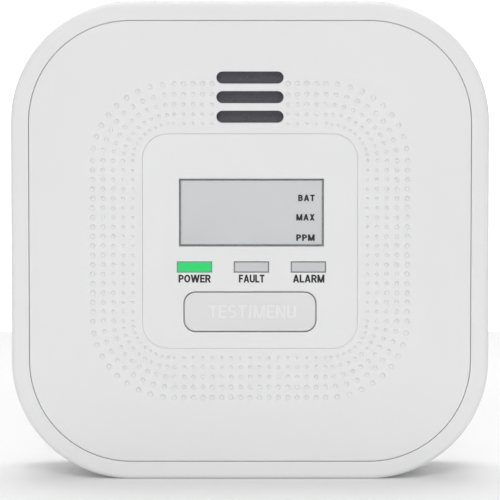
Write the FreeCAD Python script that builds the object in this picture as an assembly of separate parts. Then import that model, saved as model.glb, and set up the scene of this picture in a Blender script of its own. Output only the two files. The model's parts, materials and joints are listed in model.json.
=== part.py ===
"""Wall-hung or free-standing carbon monoxide detector, as an assembly of separate parts.

Frame: X to the right seen from the front, Y from the front (-) to the wall (+), Z up.
Origin: the middle of the footprint that the detector stands on. All sizes are in millimetres.
"""

import FreeCAD, Part
import math
import os
from FreeCAD import Vector

# ---------------------------------------------------------------- driving dimensions
SIZE = 100.0  # width and height of the casing
DEPTH = 36.0  # front of the test button to the wall
CORNER_R = 25.0  # corner radius of the casing's outline
WALL = 2.0  # casing wall
HALF = SIZE / 2
MID_Z = HALF
FRONT_Y = -DEPTH / 2
WALL_Y = DEPTH / 2
FIT = 0.1  # clearance round a fixed part that is set into another
OVERLAP = 0.5  # shapes that become one solid run into each other by this much
PAST = 1.0  # cutters run past the faces that they cut by this much
TOUCH = 0.02  # parts that rest on each other stay this far apart

# rear housing
PLATE_T = 3.0  # wall plate thickness
BACK_Y = WALL_Y - PLATE_T  # outer back face of the housing
FLOOR_Y = BACK_Y - WALL  # inner back face of the housing
SEAM_HALF = 46.3  # opening for the front cover
SEAM_GAP = 0.09  # visible line between the cover and the rim
RIM_INNER_Y = -16.2  # rim at the seam
RIM_OUTER_Y = -15.85  # rim at the outer edge, before rounding
RIM_ROUND = 1.1
BACK_ROUND = 4.0
LEDGE_Y = -12.5  # the ledge that the cover's skirt rests on
LEDGE_T = 1.5
LEDGE_HALF = 45.2
INNER_HALF = HALF - WALL
VENT_COUNT, VENT_PITCH, VENT_L, VENT_W, VENT_Y = 6, 4.0, 10.0, 1.4, 1.5

# front cover
COVER_HALF = SEAM_HALF - SEAM_GAP
COVER_R = CORNER_R - (HALF - COVER_HALF)
PLATEAU_HALF = 34.8
PLATEAU_R = 19.0
PLATEAU_Y = FRONT_Y + 0.35
EDGE_Y = -16.3  # where the sloping margin meets the cover's edge
EDGE_ROUND = 0.35
BLEND = 1.6  # half the width of the soft turn from plateau to margin
SKIRT_T = 2.0
COVER_INNER_Y = PLATEAU_Y + WALL
MARGIN_INNER_Y = EDGE_Y + WALL

# sounder slots
SLOT_COUNT = 3
SLOT_L, SLOT_W, SLOT_PITCH = 14.0, 2.55, 4.08
SOUNDER_Z = MID_Z + 30.3
CHAMBER_X, CHAMBER_DZ, CHAMBER_R = 9.4, 7.2, 1.6  # room behind the slots
COLLAR_WALL = 1.0
EDGE_SOFT = 0.08  # rounding of the moulded edges on the front

# display panel and what shows through it
PANEL_Z = MID_Z + 0.22  # the panel sits a little above the middle of the casing
PANEL_HALF = 22.42
PANEL_R = 5.2
PANEL_T = 1.3
PANEL_GAP = 0.03  # visible line between the panel and the cover
PANEL_Y = FRONT_Y + 0.2
PANEL_BACK_Y = PANEL_Y + PANEL_T
PANEL_FLOOR_T = 1.4  # cover wall under the panel
PANEL_FLOOR_Y = PANEL_BACK_Y + 0.05
PANEL_SEAT = 1.6  # width of the wall that the panel rests on, beyond its edge
SCREEN_GAP, LAMP_GAP = 0.2, 0.12  # round the lens and round each lamp window
LENS_SET_BACK, GUIDE_SET_BACK = 0.12, 0.06  # depth of their faces below the panel's face
LENS_FLANGE, LENS_FLANGE_T = 1.5, 0.55
GUIDE_FLANGE, GUIDE_FLANGE_T = 0.6, 0.8
GUIDE_STEM_X, GUIDE_STEM_DZ, GUIDE_STEM_END = 2.4, 0.9, 1.3  # half sizes, distance from the board
LENS_STEP = 0.3  # the lens and the guides stand this far proud of the panel's back
GROUP_X = 0.3  # the display and the lamps sit a little right of the middle
SCREEN_Z, SCREEN_W, SCREEN_H = MID_Z + 6.25, 30.25, 14.2
LAMP_Z, LAMP_W, LAMP_H, LAMP_PITCH = MID_Z - 5.15, 7.4, 2.35, 11.9
LAMP_NAMES = ("power", "fault", "alarm")
BUTTON_Z, BUTTON_W, BUTTON_H, BUTTON_R = MID_Z - 14.55, 27.3, 8.05, 2.3
BUTTON_GAP = 0.26
CROWN_W, CROWN_H = 1.3, 0.2  # how far in and how deep the button's edge rolls off
BUTTON_FLANGE, BUTTON_FLANGE_T, BUTTON_FLANGE_GAP = 1.1, 0.9, 0.05
BUTTON_POST_R, BUTTON_WEB_X, BUTTON_WEB_T = 2.0, 8.0, 1.0

# openings in the cover behind the panel, as half sizes
SCREEN_ROOM_X, SCREEN_ROOM_DZ = 18.0, 9.1
LAMP_ROOM_X, LAMP_ROOM_DZ = 4.5, 1.8
BUTTON_ROOM = 1.5  # beyond the button's own outline

# display module
LCD_Y = PANEL_BACK_Y + 0.6
LCD_PLATE_T = 0.7
LCD_X, LCD_FRONT_DZ, LCD_REAR_DZ = 17.6, 8.8, 6.4
HOLDER_X, HOLDER_DZ, PEG_R = 18.6, 9.1, 0.8
ZEBRA_X, ZEBRA_DZ, ZEBRA_HALF = 16.5, 7.3, 0.75

# circuit board
BOARD_Y = -6.6  # front face of the board
BOARD_T = 1.6
BOARD_BACK_Y = BOARD_Y + BOARD_T
BOARD_HALF = 38.0
BOARD_CHAMFER = 15.0
BOARD_NOTCH_HALF, BOARD_NOTCH_Z = 15.0, 66.2
POST_X, POST_DZ, POST_R = 34.0, 17.0, 2.6
BOARD_SCREW_HEAD_R, BOARD_SCREW_HEAD_H, BOARD_SCREW_R, BOARD_SCREW_L = 2.1, 1.5, 1.1, 6.0
BOARD_SCREW_HOLE_L = 5.5  # blind hole in each post
LEG_GAP = 0.1  # round a pin or a peg in the board

# sounder, sensor and other board parts
SOUNDER_R, SOUNDER_Y0, SOUNDER_Y1 = 13.2, -14.1, -6.2
DISC_R, DISC_Y = 12.0, -7.6
DISC_T, CERAMIC_R, CERAMIC_T = 0.28, 9.0, 0.24
SENSOR_X, SENSOR_Z, SENSOR_R, SENSOR_H = -25.5, 74.5, 7.1, 7.0
SENSOR_CAP_T, SENSOR_PIN_CIRCLE, SENSOR_PIN_R = 1.55, 4.2, 0.4
SWITCH_HALF, SWITCH_H, PLUNGER_R, PLUNGER_H = 3.0, 3.5, 1.7, 1.5

# battery compartment
CELL_R, CELL_L, NUB_R, NUB_H = 7.25, 50.5, 2.75, 1.2
CELL_DZ = 7.7  # each cell's height above or below the middle
TUB_X, TUB_DZ, TUB_WALL = 28.0, 15.4, 1.5
CELL_TIP_X = TUB_X - 0.95  # end of each cell's cap
TAIL_Y, TAIL_T = 7.7, 0.35  # contact tails that pass through the tub's left wall
TAIL_HALF, TAIL_GAP = 1.3, 0.3
CONTACT_T, CONTACT_GAP, CONTACT_HALF = 0.35, 0.05, 5.2
DOME_R, DOME_H = 1.8, 0.45
TUB_OUT_X, TUB_OUT_DZ = TUB_X + TUB_WALL, TUB_DZ + TUB_WALL
DOOR_T = 1.6
CELL_Y = BACK_Y - DOOR_T - 0.3 - CELL_R
TUB_FLOOR_Y = CELL_Y - CELL_R - 0.15
DOOR_X, DOOR_TOP_DZ = 29.9, 16.9
HINGE_Y, HINGE_DZ, HINGE_R, HINGE_PIN_R = 13.9, -15.7, 1.1, 0.7
HINGE_Z = MID_Z + HINGE_DZ
HINGE_PIN_GAP, HINGE_PIN_L = 0.08, 1.6
DOOR_TOP_Z = MID_Z + DOOR_TOP_DZ
DOOR_GAP = 0.15
FRAME_X, FRAME_DZ, FRAME_T, FRAME_R = 33.0, 19.0, 3.6, 2.0
NOTCH_R, NOTCH_T, NOTCH_INSET = 7.0, 1.3, 3.0  # finger notch at the door's edge

# screws that hold the two casing halves together
SCREW_X, SCREW_R, SCREW_L, SCREW_HEAD_R, SCREW_HEAD_H = 36.0, 1.45, 9.5, 2.75, 1.9
SCREW_SEAT_Y = 0.5
SCREW_HEAD_GAP, SCREW_SHANK_GAP, SCREW_TIP_ROOM = 0.35, 0.25, 3.0
TOWER_R, TOWER_FLOOR_T = SCREW_HEAD_R + 1.4, 2.0
BOSS_R, BOSS_GAP = 3.4, 0.1

# wall plate
PLATE_HALF, PLATE_R = 42.0, 17.0
WINDOW_X, WINDOW_Z0, WINDOW_Z1 = 31.5, 32.0, 76.5
HOOK_X, HOOK_DZ = 26.0, (-27.0, 30.0)
HOOK_NECK_W, HOOK_HEAD_W, HOOK_NECK_H, HOOK_HEAD_H = 4.6, 8.4, 3.0, 3.4
HOOK_TRAVEL = 7.5
HOOK_GAP, HOOK_HEAD_GAP = 0.2, 0.3
FIXING_DX, FIXING_Z, FIXING_W, FIXING_L = 50.0, 86.0, 4.4, 8.0
FIXING_RECESS, FIXING_RECESS_T = 2.1, 1.75  # room for a wall screw's head
RELIEF_T = 1.2  # depth of the weight-saving pockets in the plate's wall side


# ---------------------------------------------------------------- shape helpers
def outline(half_x, half_z, radius, y, x=0.0, z=MID_Z):
    """Rounded rectangle at depth y, as one closed wire of lines and quarter circles."""
    edges = []
    last = None
    for sx, sz, start in ((1, -1, 270), (1, 1, 0), (-1, 1, 90), (-1, -1, 180)):
        cx, cz = x + sx * (half_x - radius), z + sz * (half_z - radius)
        ends = []
        for angle in (start, start + 45, start + 90):
            a = math.radians(angle)
            ends.append(Vector(cx + radius * math.cos(a), y, cz + radius * math.sin(a)))
        if last is not None and last.distanceToPoint(ends[0]) > 1e-6:
            edges.append(Part.makeLine(last, ends[0]))
        edges.append(Part.Arc(*ends).toShape())
        last = ends[2]
    first = edges[0].Vertexes[0].Point
    if last.distanceToPoint(first) > 1e-6:
        edges.append(Part.makeLine(last, first))
    return Part.Wire(Part.sortEdges(edges)[0])


def slab(half_x, half_z, radius, y0, y1, x=0.0, z=MID_Z):
    """Rounded rectangle extruded from depth y0 to depth y1."""
    return Part.Face(outline(half_x, half_z, radius, y0, x, z)).extrude(Vector(0, y1 - y0, 0))


def block(x0, x1, y0, y1, z0, z1):
    return Part.makeBox(x1 - x0, y1 - y0, z1 - z0, Vector(x0, y0, z0))


def rod(radius, y0, y1, x=0.0, z=MID_Z):
    """Cylinder along Y."""
    return Part.makeCylinder(radius, y1 - y0, Vector(x, y0, z), Vector(0, 1, 0))


def axle(radius, x0, x1, y, z):
    """Cylinder along X."""
    return Part.makeCylinder(radius, x1 - x0, Vector(x0, y, z), Vector(1, 0, 0))


def ring(outer_r, inner_r, y0, y1, x=0.0, z=MID_Z):
    return rod(outer_r, y0, y1, x, z).cut(rod(inner_r, y0 - PAST, y1 + PAST, x, z))


def joined(shapes):
    return shapes[0].multiFuse(shapes[1:]).removeSplitter()


def group(shapes):
    """Separate solids that share one node."""
    return Part.makeCompound(shapes)


def edges_at(shape, y, wanted=lambda edge: True):
    """Edges that lie wholly at depth y."""
    return [
        e
        for e in shape.Edges
        if abs(e.BoundBox.YMin - y) < 0.01 and abs(e.BoundBox.YMax - y) < 0.01 and wanted(e)
    ]


def near(x_limit, z_centre, z_limit):
    """Test for edges inside a window on the front."""
    return lambda e: (
        max(abs(e.BoundBox.XMin), abs(e.BoundBox.XMax)) < x_limit
        and abs(e.BoundBox.Center.z - z_centre) < z_limit
    )


def lamp_x(index):
    return GROUP_X + (index - 1) * LAMP_PITCH


def lead(points, diameter):
    """Insulated wire: straight runs joined by tangent arcs as large as the runs allow."""
    points = [Vector(*p) for p in points]
    edges, last = [], points[0]
    for before, corner, after in zip(points, points[1:], points[2:]):
        into, out = corner - before, after - corner
        turn = into.getAngle(out)
        reach = 0.45 * min(into.Length, out.Length)
        radius = reach / math.tan(turn / 2)
        into.normalize()
        out.normalize()
        start, end = corner - into * reach, corner + out * reach
        inward = (out - into).normalize()
        centre = corner + inward * (radius / math.cos(turn / 2))
        edges.append(Part.makeLine(last, start))
        edges.append(Part.Arc(start, centre - inward * radius, end).toShape())
        last = end
    edges.append(Part.makeLine(last, points[-1]))
    path = Part.Wire(edges)
    section = Part.Wire(Part.makeCircle(diameter / 2, points[0], points[1] - points[0]))
    return path.makePipeShell([section], True, False)


def screw(head_r, head_h, shank_r, shank_l, x, seat_y, z):
    """Pan-head screw driven towards the front, with a cross recess in its head."""
    head = rod(head_r, seat_y, seat_y + head_h, x, z)
    head = head.makeFillet(0.45 * head_h, edges_at(head, seat_y + head_h))
    shank = rod(shank_r, seat_y - shank_l, seat_y, x, z)
    shank = shank.makeChamfer(0.5 * shank_r, edges_at(shank, seat_y - shank_l))
    arm, width, floor = 0.6 * head_r, 0.14 * head_r, seat_y + 0.45 * head_h
    top = seat_y + head_h + PAST
    cross = [
        block(x - arm, x + arm, floor, top, z - width, z + width),
        block(x - width, x + width, floor, top, z - arm, z + arm),
    ]
    return joined([head, shank]).cut(joined(cross))


# ---------------------------------------------------------------- casing
def screw_places():
    return [(sx * SCREW_X, MID_Z + sz * SCREW_X) for sx in (-1, 1) for sz in (-1, 1)]


def post_places():
    return [(sx * POST_X, MID_Z + sz * POST_DZ) for sx in (-1, 1) for sz in (-1, 1)]


def hook_places():
    return [(sx * HOOK_X, MID_Z + dz) for sx in (-1, 1) for dz in HOOK_DZ]


def housing_shell():
    """Outside of the rear housing, hollowed from the front, with a ledge for the cover."""
    rim = Part.makeLoft(
        [
            outline(HALF, HALF, CORNER_R, RIM_OUTER_Y),
            outline(SEAM_HALF, SEAM_HALF, CORNER_R - (HALF - SEAM_HALF), RIM_INNER_Y),
        ],
        True,
        True,
    )
    shell = joined([rim, slab(HALF, HALF, CORNER_R, RIM_OUTER_Y, BACK_Y)])
    shell = shell.makeFillet(BACK_ROUND, edges_at(shell, BACK_Y))
    shell = shell.makeFillet(RIM_ROUND, edges_at(shell, RIM_OUTER_Y))

    def inset(half, y0, y1):
        return slab(half, half, CORNER_R - (HALF - half), y0, y1)

    hollow = [
        inset(SEAM_HALF, RIM_INNER_Y - PAST, LEDGE_Y),
        inset(LEDGE_HALF, LEDGE_Y - PAST, LEDGE_Y + LEDGE_T + PAST),
        inset(INNER_HALF, LEDGE_Y + LEDGE_T, FLOOR_Y),
    ]
    return shell.cut(joined(hollow))


def door_cuts():
    """Battery compartment, recess for the door and its barrel, pin bore and finger notch."""
    recess_x = DOOR_X + DOOR_GAP
    recess_z0 = HINGE_Z - HINGE_R - DOOR_GAP
    recess_z1 = DOOR_TOP_Z + DOOR_GAP
    barrel_y = HINGE_Y - HINGE_R - DOOR_GAP
    bore_x = recess_x + HINGE_PIN_L + 0.2
    outside = BACK_Y + PAST
    return [
        block(-TUB_X, TUB_X, TUB_FLOOR_Y, outside, MID_Z - TUB_DZ, MID_Z + TUB_DZ),
        block(-recess_x, recess_x, BACK_Y - DOOR_T - 0.1, outside, recess_z0, recess_z1),
        block(-recess_x, recess_x, barrel_y, outside, recess_z0, HINGE_Z + HINGE_R + DOOR_GAP),
        axle(HINGE_PIN_R + HINGE_PIN_GAP, -bore_x, bore_x, HINGE_Y, HINGE_Z),
        rod(NOTCH_R, BACK_Y - NOTCH_T, outside, 0, recess_z1 - NOTCH_INSET),
    ]


def screw_cuts():
    """Access hole for each screw's head, and the clearance hole for its shank."""
    cuts = []
    for x, z in screw_places():
        cuts.append(rod(SCREW_HEAD_R + SCREW_HEAD_GAP, SCREW_SEAT_Y, BACK_Y + PAST, x, z))
        cuts.append(rod(SCREW_R + SCREW_SHANK_GAP, SCREW_SEAT_Y - TOWER_FLOOR_T - PAST,
                        SCREW_SEAT_Y + PAST, x, z))
    return cuts


def hook_cuts():
    """Keyhole for each hook: a narrow slot above a wide end."""
    cuts = []
    for x, z in hook_places():
        neck, head = HOOK_NECK_W / 2 + HOOK_GAP, HOOK_HEAD_W / 2 + HOOK_HEAD_GAP
        top, low = z + HOOK_NECK_H / 2 + HOOK_GAP, z - HOOK_TRAVEL
        y0, y1 = FLOOR_Y - PAST, BACK_Y + PAST
        cuts.append(block(x - neck, x + neck, y0, y1, low, top))
        cuts.append(slab(head, HOOK_HEAD_H / 2 + 2 * HOOK_HEAD_GAP, 0.8, y0, y1, x, low))
    return cuts


def vent_cuts():
    """Gas vents through both side walls."""
    cuts = []
    for side in (-1, 1):
        for i in range(VENT_COUNT):
            z = MID_Z + (i - (VENT_COUNT - 1) / 2) * VENT_PITCH
            vent = slab(VENT_L / 2, VENT_W / 2, VENT_W / 2 - 0.01, 0, 2 * (WALL + PAST), 0, 0)
            vent.rotate(Vector(0, 0, 0), Vector(0, 0, 1), 90)
            vent.translate(Vector(side * HALF + WALL + PAST, VENT_Y, z))
            cuts.append(vent)
    return cuts


def tail_cuts():
    """Slots in the tub's left wall for the two contact tails."""
    half = TAIL_HALF + TAIL_GAP
    return [
        block(-TUB_OUT_X - PAST, -TUB_X + PAST, TAIL_Y - TAIL_GAP, TAIL_Y + TAIL_T + TAIL_GAP,
              cell_z(side) - half, cell_z(side) + half)
        for side in (-1, 1)
    ]


def rear_housing():
    """Rear shell: rim, side walls, back wall, battery tub, screw towers and hook slots."""
    frame = slab(FRAME_X, FRAME_DZ, FRAME_R, BACK_Y - FRAME_T, BACK_Y - OVERLAP)
    tub = block(-TUB_OUT_X, TUB_OUT_X, TUB_FLOOR_Y - TUB_WALL, FLOOR_Y + OVERLAP,
                MID_Z - TUB_OUT_DZ, MID_Z + TUB_OUT_DZ)
    towers = [
        rod(TOWER_R, SCREW_SEAT_Y - TOWER_FLOOR_T, FLOOR_Y + OVERLAP, x, z)
        for x, z in screw_places()
    ]
    shell = joined([housing_shell(), frame, tub] + towers)
    cuts = door_cuts() + screw_cuts() + hook_cuts() + vent_cuts() + tail_cuts()
    return shell.cut(joined(cuts))


def cover_sections():
    """(half width, depth) of the cover's outside, from the skirt's rear to the plateau."""
    slope = (EDGE_Y - PLATEAU_Y) / (COVER_HALF - EDGE_ROUND - PLATEAU_HALF)
    sections = [(COVER_HALF, LEDGE_Y - FIT)]
    steps = 4
    for i in range(steps + 1):
        a = math.radians(90.0 * i / steps)
        inset = EDGE_ROUND * (1 - math.cos(a))
        sections.append((COVER_HALF - inset, EDGE_Y + EDGE_ROUND * (1 - math.sin(a))))
    for i in range(steps + 1):
        half = PLATEAU_HALF + BLEND - 2 * BLEND * i / steps
        rise = half - (PLATEAU_HALF - BLEND)
        sections.append((half, PLATEAU_Y + slope * rise * rise / (4 * BLEND)))
    return sections


def cover_shell():
    """Hollow shell of the cover, before its bosses and openings."""
    growth = (COVER_R - PLATEAU_R) / (COVER_HALF - PLATEAU_HALF)
    wires = [
        outline(half, half, PLATEAU_R + (half - PLATEAU_HALF) * growth, y)
        for half, y in cover_sections()
    ]
    inner_half, plateau_half = COVER_HALF - SKIRT_T, PLATEAU_HALF - 0.8
    hollow = [
        slab(inner_half, inner_half, COVER_R - SKIRT_T, MARGIN_INNER_Y, LEDGE_Y + PAST),
        slab(plateau_half, plateau_half, PLATEAU_R - 0.8, COVER_INNER_Y, LEDGE_Y),
        slab(CHAMBER_X, CHAMBER_DZ, CHAMBER_R, COVER_INNER_Y, LEDGE_Y, 0, SOUNDER_Z),
    ]
    return Part.makeLoft(wires, True, True).cut(joined(hollow))


def sounder_collar():
    """Wall round the room behind the slots; the sounder closes its end."""
    collar = slab(CHAMBER_X + COLLAR_WALL, CHAMBER_DZ + COLLAR_WALL, CHAMBER_R + COLLAR_WALL,
                  COVER_INNER_Y - OVERLAP, SOUNDER_Y0 - 0.05, 0, SOUNDER_Z)
    return collar.cut(slab(CHAMBER_X, CHAMBER_DZ, CHAMBER_R, COVER_INNER_Y - PAST,
                           SOUNDER_Y0 + PAST, 0, SOUNDER_Z))


def front_cover():
    """Front shell with its sloping margin, slots, panel pocket, skirt and bosses."""
    added = [sounder_collar()]
    seat_half = PANEL_HALF + PANEL_SEAT
    added.append(slab(seat_half, seat_half, PANEL_R + PANEL_SEAT, COVER_INNER_Y - OVERLAP,
                      PANEL_FLOOR_Y + PANEL_FLOOR_T, 0, PANEL_Z))
    boss_end = SCREW_SEAT_Y - TOWER_FLOOR_T - BOSS_GAP
    for x, z in screw_places():
        added.append(rod(BOSS_R, MARGIN_INNER_Y - OVERLAP, boss_end, x, z))
    for x, z in post_places():
        added.append(rod(POST_R, COVER_INNER_Y - OVERLAP, BOARD_Y - 0.05, x, z))
    shell = joined([cover_shell()] + added)

    pocket_half = PANEL_HALF + PANEL_GAP
    floor_cut = PANEL_FLOOR_Y - PAST
    cuts = [
        slab(pocket_half, pocket_half, PANEL_R + PANEL_GAP, PLATEAU_Y - PAST, PANEL_FLOOR_Y,
             0, PANEL_Z),
        block(GROUP_X - SCREEN_ROOM_X, GROUP_X + SCREEN_ROOM_X, floor_cut, LEDGE_Y,
              SCREEN_Z - SCREEN_ROOM_DZ, SCREEN_Z + SCREEN_ROOM_DZ),
        slab(BUTTON_W / 2 + BUTTON_ROOM, BUTTON_H / 2 + BUTTON_ROOM, BUTTON_R + BUTTON_ROOM,
             floor_cut, LEDGE_Y, 0, BUTTON_Z),
    ]
    for i in range(len(LAMP_NAMES)):
        x = lamp_x(i)
        cuts.append(block(x - LAMP_ROOM_X, x + LAMP_ROOM_X, floor_cut, LEDGE_Y,
                          LAMP_Z - LAMP_ROOM_DZ, LAMP_Z + LAMP_ROOM_DZ))
    for i in range(SLOT_COUNT):
        z = SOUNDER_Z + (i - (SLOT_COUNT - 1) / 2) * SLOT_PITCH
        cuts.append(slab(SLOT_L / 2, SLOT_W / 2, SLOT_W / 2, PLATEAU_Y - PAST, LEDGE_Y, 0, z))
    for x, z in screw_places():
        cuts.append(rod(SCREW_R + TOUCH, SCREW_SEAT_Y - SCREW_L - SCREW_TIP_ROOM, SCREW_SEAT_Y,
                        x, z))
    for x, z in post_places():
        cuts.append(rod(BOARD_SCREW_R + TOUCH, BOARD_Y - BOARD_SCREW_HOLE_L, BOARD_Y + PAST,
                        x, z))
    shell = shell.cut(joined(cuts))
    soft = edges_at(shell, PLATEAU_Y, near(SLOT_L, SOUNDER_Z, SLOT_PITCH + SLOT_W))
    soft += edges_at(shell, PLATEAU_Y, near(PANEL_HALF + 1, PANEL_Z, 2 * PANEL_HALF))
    unique = {e.hashCode(): e for e in soft}
    return shell.makeFillet(EDGE_SOFT, list(unique.values()))


def housing_screws():
    return group(
        [
            screw(SCREW_HEAD_R, SCREW_HEAD_H, SCREW_R, SCREW_L, x, SCREW_SEAT_Y, z)
            for x, z in screw_places()
        ]
    )


# ---------------------------------------------------------------- display panel
def opening(half_x, half_z, x, z):
    """Square-cornered cutter through the panel."""
    return block(x - half_x, x + half_x, PANEL_Y - PAST, PANEL_BACK_Y + PAST, z - half_z, z + half_z)


def display_panel():
    """Inlay plate with the screen window, three lamp windows and the button opening."""
    plate = slab(PANEL_HALF, PANEL_HALF, PANEL_R, PANEL_Y, PANEL_BACK_Y, 0, PANEL_Z)
    plate = plate.makeFillet(EDGE_SOFT, edges_at(plate, PANEL_Y))
    gap = BUTTON_GAP
    cuts = [
        opening(SCREEN_W / 2, SCREEN_H / 2, GROUP_X, SCREEN_Z),
        slab(BUTTON_W / 2 + gap, BUTTON_H / 2 + gap, BUTTON_R + gap, PANEL_Y - PAST,
             PANEL_BACK_Y + PAST, 0, BUTTON_Z),
    ]
    for i in range(len(LAMP_NAMES)):
        cuts.append(opening(LAMP_W / 2, LAMP_H / 2, lamp_x(i), LAMP_Z))
    plate = plate.cut(joined(cuts))
    rim = edges_at(plate, PANEL_Y, near(BUTTON_W / 2 + 1, BUTTON_Z, BUTTON_H / 2 + 1))
    return plate.makeFillet(0.1, rim)


def flanged_block(x, z, half_x, half_z, set_back, flange, flange_t):
    """Block that fills an opening of the panel, and its flange behind the panel."""
    return [
        block(x - half_x, x + half_x, PANEL_Y + set_back, PANEL_BACK_Y + LENS_STEP,
              z - half_z, z + half_z),
        block(x - half_x - flange, x + half_x + flange, PANEL_BACK_Y + TOUCH,
              PANEL_BACK_Y + flange_t, z - half_z - flange, z + half_z + flange),
    ]


def display_window():
    """Clear lens: it fills the screen opening and has a flange behind the panel."""
    return joined(flanged_block(GROUP_X, SCREEN_Z, SCREEN_W / 2 - SCREEN_GAP,
                                SCREEN_H / 2 - SCREEN_GAP, LENS_SET_BACK, LENS_FLANGE,
                                LENS_FLANGE_T))


def light_guide(index):
    """Lamp window with a flange behind the panel and a stem down to its lamp."""
    x = lamp_x(index)
    body = flanged_block(x, LAMP_Z, LAMP_W / 2 - LAMP_GAP, LAMP_H / 2 - LAMP_GAP, GUIDE_SET_BACK,
                         GUIDE_FLANGE, GUIDE_FLANGE_T)
    stem = block(x - GUIDE_STEM_X, x + GUIDE_STEM_X, PANEL_BACK_Y + LENS_STEP,
                 BOARD_Y - GUIDE_STEM_END, LAMP_Z - GUIDE_STEM_DZ, LAMP_Z + GUIDE_STEM_DZ)
    return joined(body + [stem])


def test_button():
    """Button cap with a crowned face, a retaining flange and a post onto the switch."""
    steps = 5
    sections = [(0.0, PANEL_BACK_Y + 0.4)]
    for i in range(steps + 1):
        a = math.radians(90.0 * i / steps)
        sections.append((CROWN_W * (1 - math.cos(a)), FRONT_Y + CROWN_H * (1 - math.sin(a))))
    wires = [
        outline(BUTTON_W / 2 - inset, BUTTON_H / 2 - inset, BUTTON_R - inset, y, 0, BUTTON_Z)
        for inset, y in sections
    ]
    cap = Part.makeLoft(wires, True, True)
    flange_y = PANEL_BACK_Y + BUTTON_FLANGE_GAP
    flange = slab(BUTTON_W / 2 + BUTTON_FLANGE, BUTTON_H / 2 + BUTTON_FLANGE,
                  BUTTON_R + BUTTON_FLANGE, flange_y, flange_y + BUTTON_FLANGE_T, 0, BUTTON_Z)
    post_y0, post_y1 = PANEL_BACK_Y + 0.5, BOARD_Y - SWITCH_H - PLUNGER_H - 0.03
    post = rod(BUTTON_POST_R, post_y0, post_y1, 0, BUTTON_Z)
    web = block(-BUTTON_WEB_X, BUTTON_WEB_X, post_y0, post_y1 - 2.0,
                BUTTON_Z - BUTTON_WEB_T / 2, BUTTON_Z + BUTTON_WEB_T / 2)
    return joined([cap, flange, post, web])


# ---------------------------------------------------------------- display module
def lcd_glass():
    """Two bonded glass plates, the rear one shorter so that its contacts are bare."""
    plates = []
    for i, dz in enumerate((LCD_FRONT_DZ, LCD_REAR_DZ)):
        y0 = LCD_Y + i * LCD_PLATE_T
        plates.append(block(GROUP_X - LCD_X, GROUP_X + LCD_X, y0, y0 + LCD_PLATE_T,
                            SCREEN_Z - dz, SCREEN_Z + dz))
    return joined(plates)


def peg_places():
    return [(GROUP_X + s * (HOLDER_X - 0.9), SCREEN_Z) for s in (-1, 1)]


def lcd_holder():
    """Open frame that stands on the board and carries the glass."""
    y0, x, dz = LCD_Y + 2 * LCD_PLATE_T + TOUCH, HOLDER_X, HOLDER_DZ
    frame = slab(x, dz, 0.8, y0, BOARD_Y - TOUCH, GROUP_X, SCREEN_Z)
    frame = frame.cut(slab(x - 1.2, dz - 0.9, 0.4, y0 - PAST, BOARD_Y + PAST, GROUP_X, SCREEN_Z))
    bridge = block(GROUP_X - x + OVERLAP, GROUP_X + x - OVERLAP, y0, y0 + 1.0,
                   SCREEN_Z - 5.8, SCREEN_Z + 5.8)
    pegs = [rod(PEG_R, BOARD_Y - 1.5, BOARD_BACK_Y + 0.8, x, z) for x, z in peg_places()]
    return joined([frame, bridge] + pegs)


def zebra_strips():
    """Two elastomer connectors from the glass contacts to the board."""
    y0 = LCD_Y + LCD_PLATE_T + TOUCH
    return group(
        [
            block(GROUP_X - ZEBRA_X, GROUP_X + ZEBRA_X, y0, BOARD_Y - TOUCH,
                  SCREEN_Z + dz - ZEBRA_HALF, SCREEN_Z + dz + ZEBRA_HALF)
            for dz in (-ZEBRA_DZ, ZEBRA_DZ)
        ]
    )


# ---------------------------------------------------------------- circuit board
def main_board():
    """Board with cut corners, a notch for the sounder, and its through-holes."""
    h, c = BOARD_HALF, BOARD_CHAMFER
    corners = []
    for sx, sz in ((1, -1), (1, 1), (-1, 1), (-1, -1)):
        pair = [(sx * (h - c), MID_Z + sz * h), (sx * h, MID_Z + sz * (h - c))]
        corners += pair if sx * sz < 0 else pair[::-1]
    points = [Vector(x, BOARD_Y, z) for x, z in corners]
    board = Part.Face(Part.makePolygon(points + points[:1])).extrude(Vector(0, BOARD_T, 0))
    y0, y1 = BOARD_Y - PAST, BOARD_BACK_Y + PAST
    cuts = [
        block(-BOARD_NOTCH_HALF, BOARD_NOTCH_HALF, y0, y1, BOARD_NOTCH_Z, MID_Z + h + PAST)
    ]
    cuts += [rod(BOARD_SCREW_R + 0.2, y0, y1, x, z) for x, z in post_places()]
    cuts += [rod(SENSOR_PIN_R + LEG_GAP, y0, y1, x, z) for x, z in sensor_pin_places()]
    cuts += [rod(PEG_R + LEG_GAP, y0, y1, x, z) for x, z in peg_places()]
    return board.cut(joined(cuts))


def board_screws():
    return group(
        [
            screw(BOARD_SCREW_HEAD_R, BOARD_SCREW_HEAD_H, BOARD_SCREW_R, BOARD_SCREW_L,
                  x, BOARD_BACK_Y, z)
            for x, z in post_places()
        ]
    )


def lamp(index):
    """Surface-mount lamp: white case with a domed lens."""
    x = lamp_x(index)
    case = block(x - 1.5, x + 1.5, BOARD_Y - 0.7, BOARD_Y, LAMP_Z - 0.8, LAMP_Z + 0.8)
    lens = slab(1.0, 0.6, 0.55, BOARD_Y - 1.05, BOARD_Y - 0.6, x, LAMP_Z)
    return joined([case, lens])


def switch_body():
    """Tactile switch under the test button, with a bore for its plunger."""
    y0 = BOARD_Y - SWITCH_H
    s = SWITCH_HALF
    body = block(-s, s, y0, BOARD_Y, BUTTON_Z - s, BUTTON_Z + s)
    feet = [
        block(sx * (s + 0.5) - 0.5, sx * (s + 0.5) + 0.5, BOARD_Y - 0.3, BOARD_Y,
              BUTTON_Z + sz * 2.2 - 0.35, BUTTON_Z + sz * 2.2 + 0.35)
        for sx in (-1, 1)
        for sz in (-1, 1)
    ]
    body = joined([body] + feet)
    return body.cut(rod(PLUNGER_R + 0.06, y0 - PAST, y0 + 1.8, 0, BUTTON_Z))


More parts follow.
